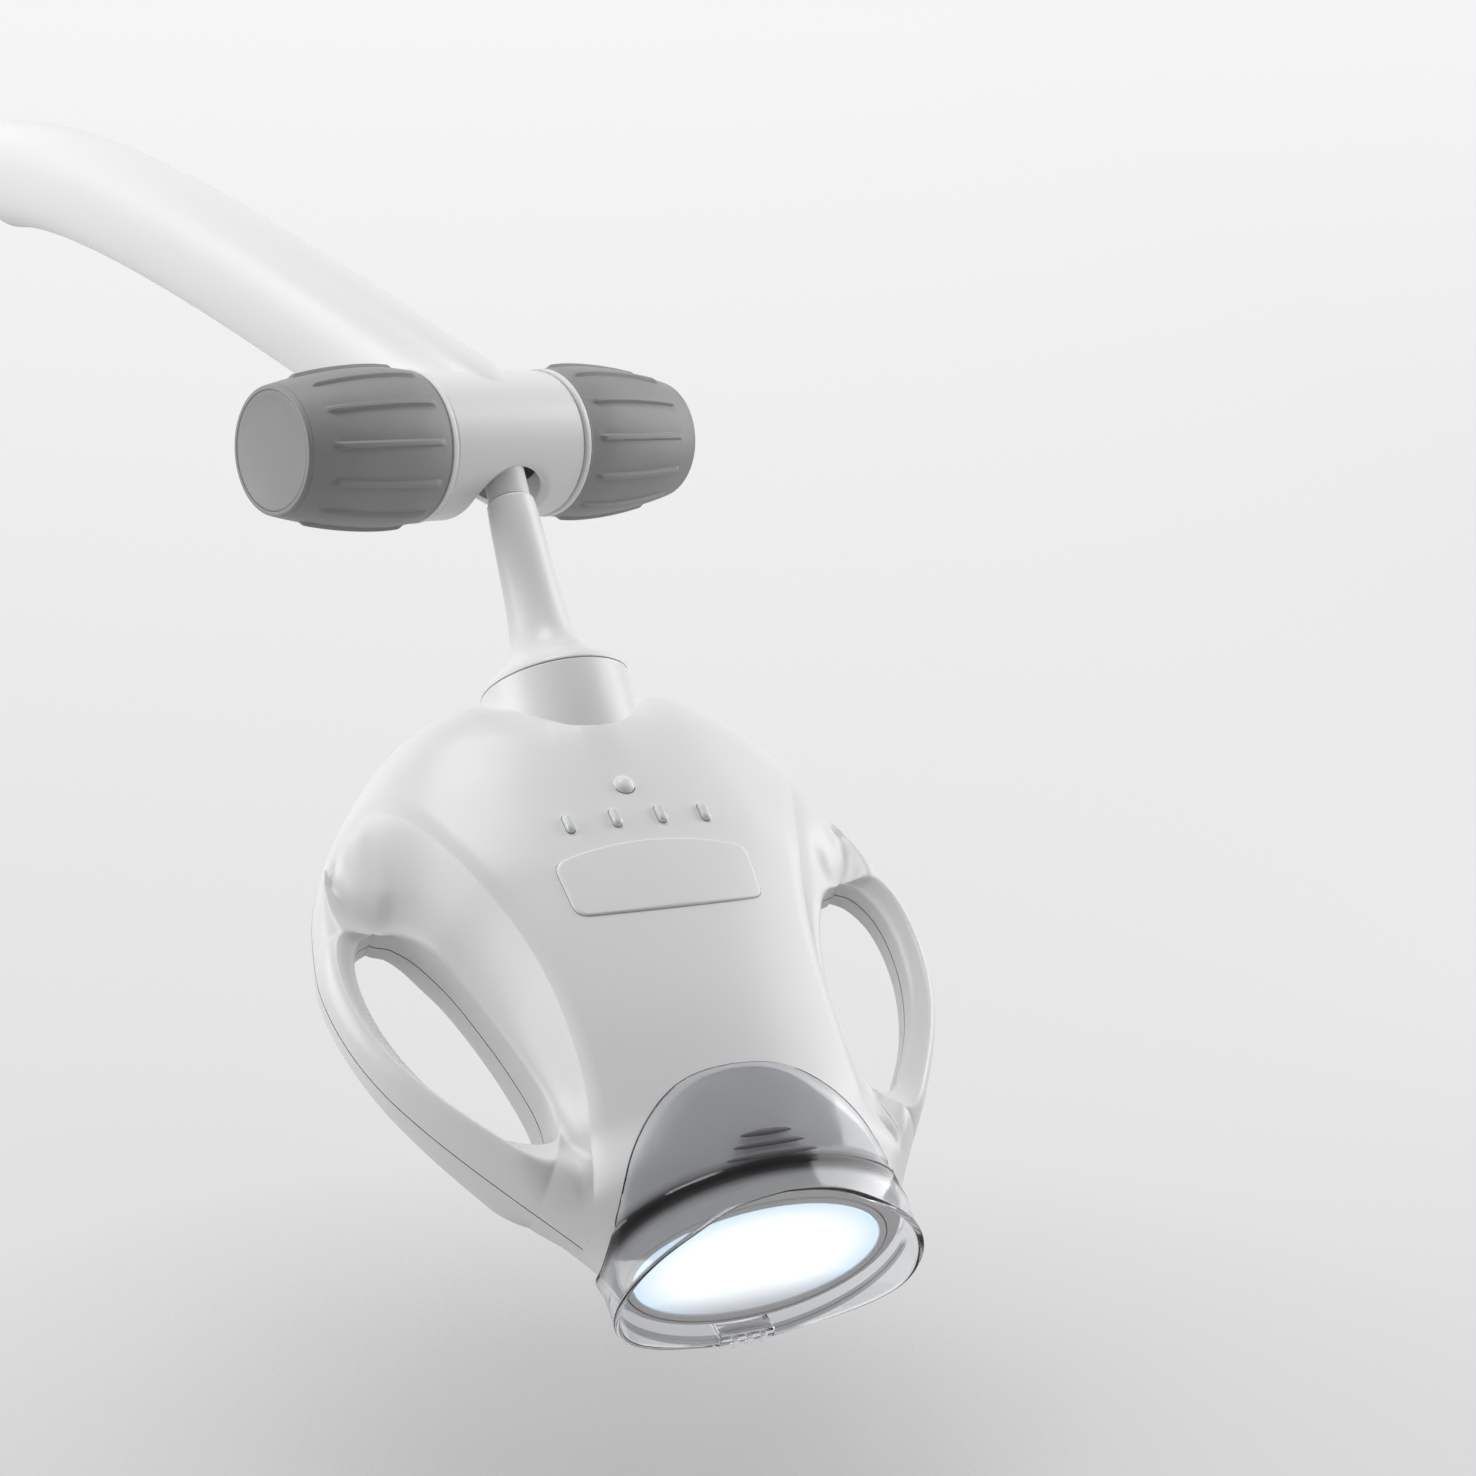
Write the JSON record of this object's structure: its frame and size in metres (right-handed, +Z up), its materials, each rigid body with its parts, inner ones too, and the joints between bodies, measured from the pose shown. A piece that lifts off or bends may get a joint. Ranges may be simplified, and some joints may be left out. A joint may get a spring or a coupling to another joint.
{
  "type": "teeth whitening lamp head",
  "caption": "Whitening lamp head with scooped loop handles, light window and clear guide, hung by a swivel neck from a clamp bar with grip knobs on a curved arm.",
  "frame": {"origin": "centre of the outer face of the root flange at the cut end of the arm", "axes": "+Y out of the flange face, away from the lamp; +Z up; +X along the clamp bar, towards the right knob seen from the front"},
  "size_m": [0.2432, 0.5879, 0.4389],
  "materials": {
    "white_shell": "smooth moulded gloss white",
    "soft_grey": "soft-touch matt grey",
    "cap_grey": "fine matt grey",
    "clear_guide": "clear, faint smoke tint",
    "window_glow": "frosted, lit from behind",
    "light_pipe": "translucent white",
    "steel": "turned",
    "aluminium": "satin",
    "mirror_film": "polished",
    "dark_plastic": "fine grain",
    "brake_lining": "matt fibre",
    "bearing_plastic": "smooth",
    "board": "solder mask",
    "sleeve_grey": "smooth matt"
  },
  "bodies": {
    "arm": {"arm_cover": "white_shell", "arm_tube": "steel", "root_flange": "steel", "barrel": "white_shell", "barrel_ring_left": "white_shell", "barrel_ring_right": "white_shell", "tilt_bush_left": "bearing_plastic", "tilt_bush_right": "bearing_plastic", "friction_disc_left": "brake_lining", "friction_disc_right": "brake_lining"},
    "left_knob": {"knob_left": "soft_grey", "knob_cap_left": "cap_grey", "knob_insert_left": "steel"},
    "right_knob": {"knob_right": "soft_grey", "knob_cap_right": "cap_grey", "knob_insert_right": "steel"},
    "tilt_yoke": {"tilt_block": "aluminium", "swing_pin": "steel"},
    "neck": {"neck_eye": "aluminium", "neck_sleeve": "sleeve_grey", "neck_tube": "white_shell", "swivel_spindle": "steel", "spindle_nut": "steel"},
    "head": {"collar_cup": "white_shell", "swivel_bush": "bearing_plastic", "front_shell": "white_shell", "rear_shell": "white_shell", "badge_plate": "white_shell", "session_light_1": "light_pipe", "session_light_2": "light_pipe", "session_light_3": "light_pipe", "session_light_4": "light_pipe", "shell_screw_1": "steel", "shell_screw_2": "steel", "shell_screw_3": "steel", "shell_screw_4": "steel", "shell_screw_5": "steel", "shell_screw_6": "steel", "control_board": "board", "button_switch": "dark_plastic", "window_bezel": "white_shell", "window_lens": "window_glow", "reflector": "mirror_film", "led_board": "board", "heat_sink": "aluminium", "chassis_plate": "steel", "fan_frame": "dark_plastic"},
    "fan": {"fan_rotor": "dark_plastic"},
    "button": {"start_button": "white_shell"},
    "guide": {"light_guide": "clear_guide"}
  },
  "joints": [
    {"name": "tilt", "type": "hinge", "parent": "arm", "child": "tilt_yoke", "pos_m": [0, -0.34, -0.118], "axis": [1, 0, 0], "range_deg": [-1, 55]},
    {"name": "swing", "type": "hinge", "parent": "tilt_yoke", "child": "neck", "pos_m": [0, -0.34, -0.118], "axis": [0, 0.8665, -0.4992], "range_deg": [-16.5, 0.5]},
    {"name": "swivel", "type": "hinge", "parent": "neck", "child": "head", "pos_m": [-0.01592, -0.4044, -0.20621], "axis": [0.145, 0.494, 0.8573], "range_deg": [-75, 100]},
    {"name": "left_knob_turn", "type": "hinge", "parent": "arm", "child": "left_knob", "pos_m": [-0.065, -0.34, -0.118], "axis": [1, 0, 0], "range_deg": [-90, 90]},
    {"name": "right_knob_turn", "type": "hinge", "parent": "arm", "child": "right_knob", "pos_m": [0.065, -0.34, -0.118], "axis": [1, 0, 0], "range_deg": [-90, 90]},
    {"name": "button_press", "type": "slide", "parent": "head", "child": "button", "axis": [0.1747, 0.6048, -0.777], "range_m": [0, 0.0012], "stiffness_N_per_m": 400},
    {"name": "fan_spin", "type": "hinge", "parent": "head", "child": "fan", "pos_m": [-0.0425, -0.49514, -0.32143], "axis": [0.2179, 0.7458, 0.6295], "continuous": true},
    {"name": "guide_pull", "type": "slide", "parent": "head", "child": "guide", "axis": [-0.2179, -0.7458, -0.6295], "range_m": [0, 0.065]}
  ]
}
